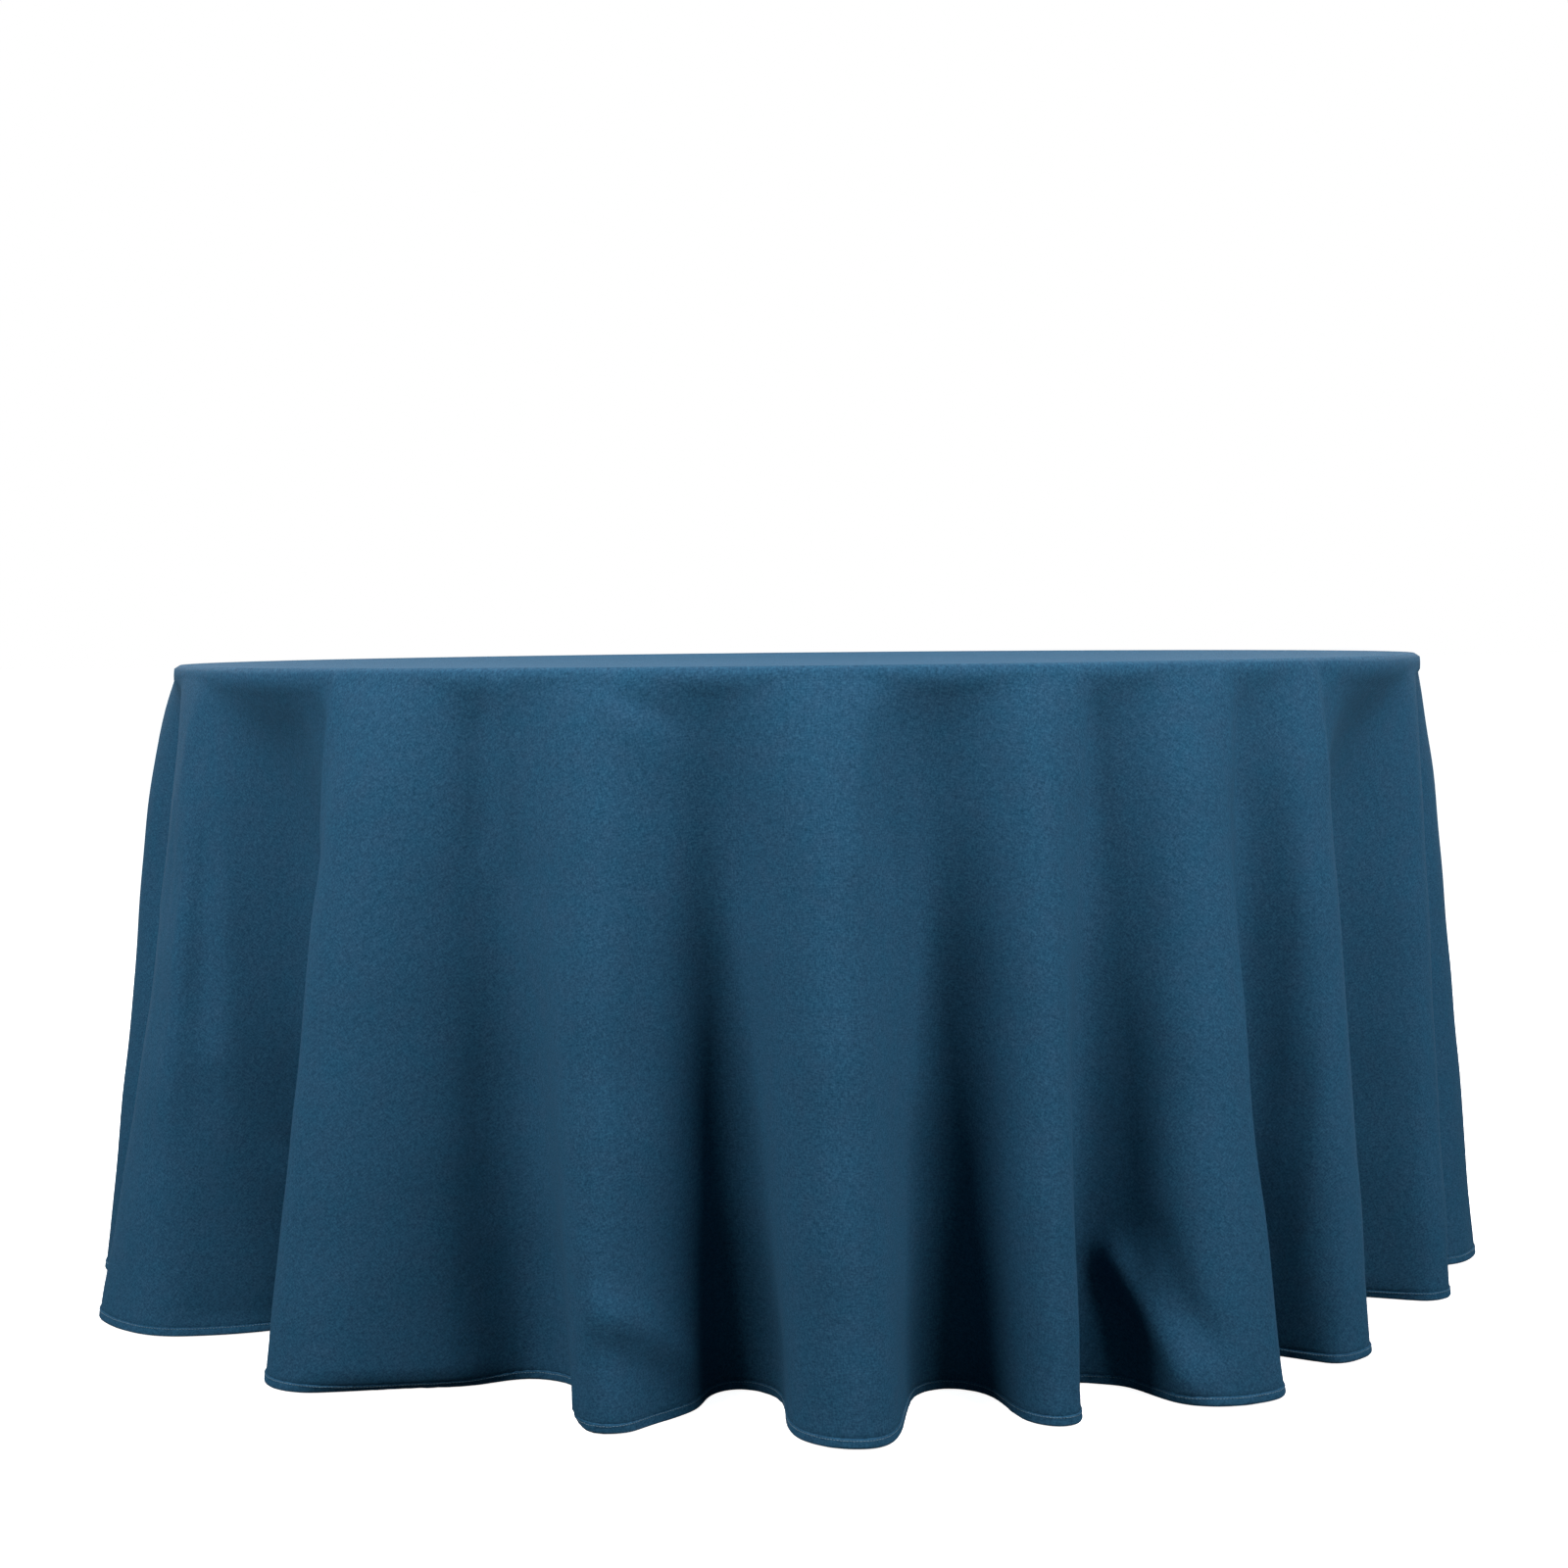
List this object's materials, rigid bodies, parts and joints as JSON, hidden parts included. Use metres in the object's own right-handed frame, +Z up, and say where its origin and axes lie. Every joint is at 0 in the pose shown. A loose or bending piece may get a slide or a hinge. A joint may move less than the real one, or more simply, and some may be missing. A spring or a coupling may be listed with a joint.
{
  "type": "tablecloth on a table",
  "caption": "Floor-length round tablecloth hanging in deep folds over a round banquet table with fold-away leg frames.",
  "frame": {"origin": "on the floor, under the centre of the table top", "axes": "+Z up; -Y towards the front of the table; +X to the right, across the two leg frames"},
  "size_m": [1.72, 1.72, 0.7449],
  "materials": {
    "cloth": "matt heathered plain weave",
    "thread": "spun polyester thread, a shade lighter than the cloth",
    "label_tape": "woven tape",
    "plywood": "birch plywood, clear sealed",
    "hardwood": "sanded and sealed",
    "laminate": "textured wood-tone laminate",
    "vinyl_edge": "moulded vinyl",
    "coated_tube": "grey powder coat",
    "zinc_steel": "zinc plated pressed steel",
    "bright_steel": "bright turned steel",
    "spring_steel": "drawn wire",
    "zinc_screw": "zinc plated",
    "foot_plastic": "moulded"
  },
  "bodies": {
    "table_top": {"top_panel": "plywood", "top_laminate": "laminate", "edge_moulding": "vinyl_edge", "runner_front": "hardwood", "runner_rear": "hardwood", "runner_screws": "zinc_screw", "bracket_screws": "zinc_screw", "lock_screws": "zinc_screw", "left_bracket_front": "zinc_steel", "left_bracket_rear": "zinc_steel", "right_bracket_front": "zinc_steel", "right_bracket_rear": "zinc_steel", "left_lock_housing": "zinc_steel", "right_lock_housing": "zinc_steel"},
    "left_leg_frame": {"left_pivot_tube": "coated_tube", "left_leg_front": "coated_tube", "left_leg_rear": "coated_tube", "left_stretcher": "coated_tube", "left_lock_cam": "zinc_steel", "left_foot_front": "foot_plastic", "left_foot_rear": "foot_plastic"},
    "right_leg_frame": {"right_pivot_tube": "coated_tube", "right_leg_front": "coated_tube", "right_leg_rear": "coated_tube", "right_stretcher": "coated_tube", "right_lock_cam": "zinc_steel", "right_foot_front": "foot_plastic", "right_foot_rear": "foot_plastic"},
    "left_lock": {"left_lock_bolt": "bright_steel", "left_lock_spring": "spring_steel"},
    "right_lock": {"right_lock_bolt": "bright_steel", "right_lock_spring": "spring_steel"},
    "tablecloth": {"tablecloth_panel": "cloth", "tablecloth_hem": "cloth", "hem_stitching": "thread", "care_label": "label_tape"}
  },
  "joints": [
    {"name": "left_leg_fold", "type": "hinge", "parent": "table_top", "child": "left_leg_frame", "pos_m": [-0.43, 0, 0.688], "axis": [0, -1, 0], "range_deg": [0, 93]},
    {"name": "right_leg_fold", "type": "hinge", "parent": "table_top", "child": "right_leg_frame", "pos_m": [0.43, 0, 0.688], "axis": [0, 1, 0], "range_deg": [0, 93]},
    {"name": "left_lock_pull", "type": "slide", "parent": "table_top", "child": "left_lock", "axis": [1, 0, 0], "range_m": [0, 0.006], "stiffness_N_per_m": 600, "springref_m": -0.004, "deforming": ["left_lock_spring"]},
    {"name": "right_lock_pull", "type": "slide", "parent": "table_top", "child": "right_lock", "axis": [-1, 0, 0], "range_m": [0, 0.006], "stiffness_N_per_m": 600, "springref_m": -0.004, "deforming": ["right_lock_spring"]},
    {"name": "cloth_lift_off", "type": "slide", "parent": "table_top", "child": "tablecloth", "axis": [0, 0, 1], "range_m": [0, 0.78]}
  ]
}
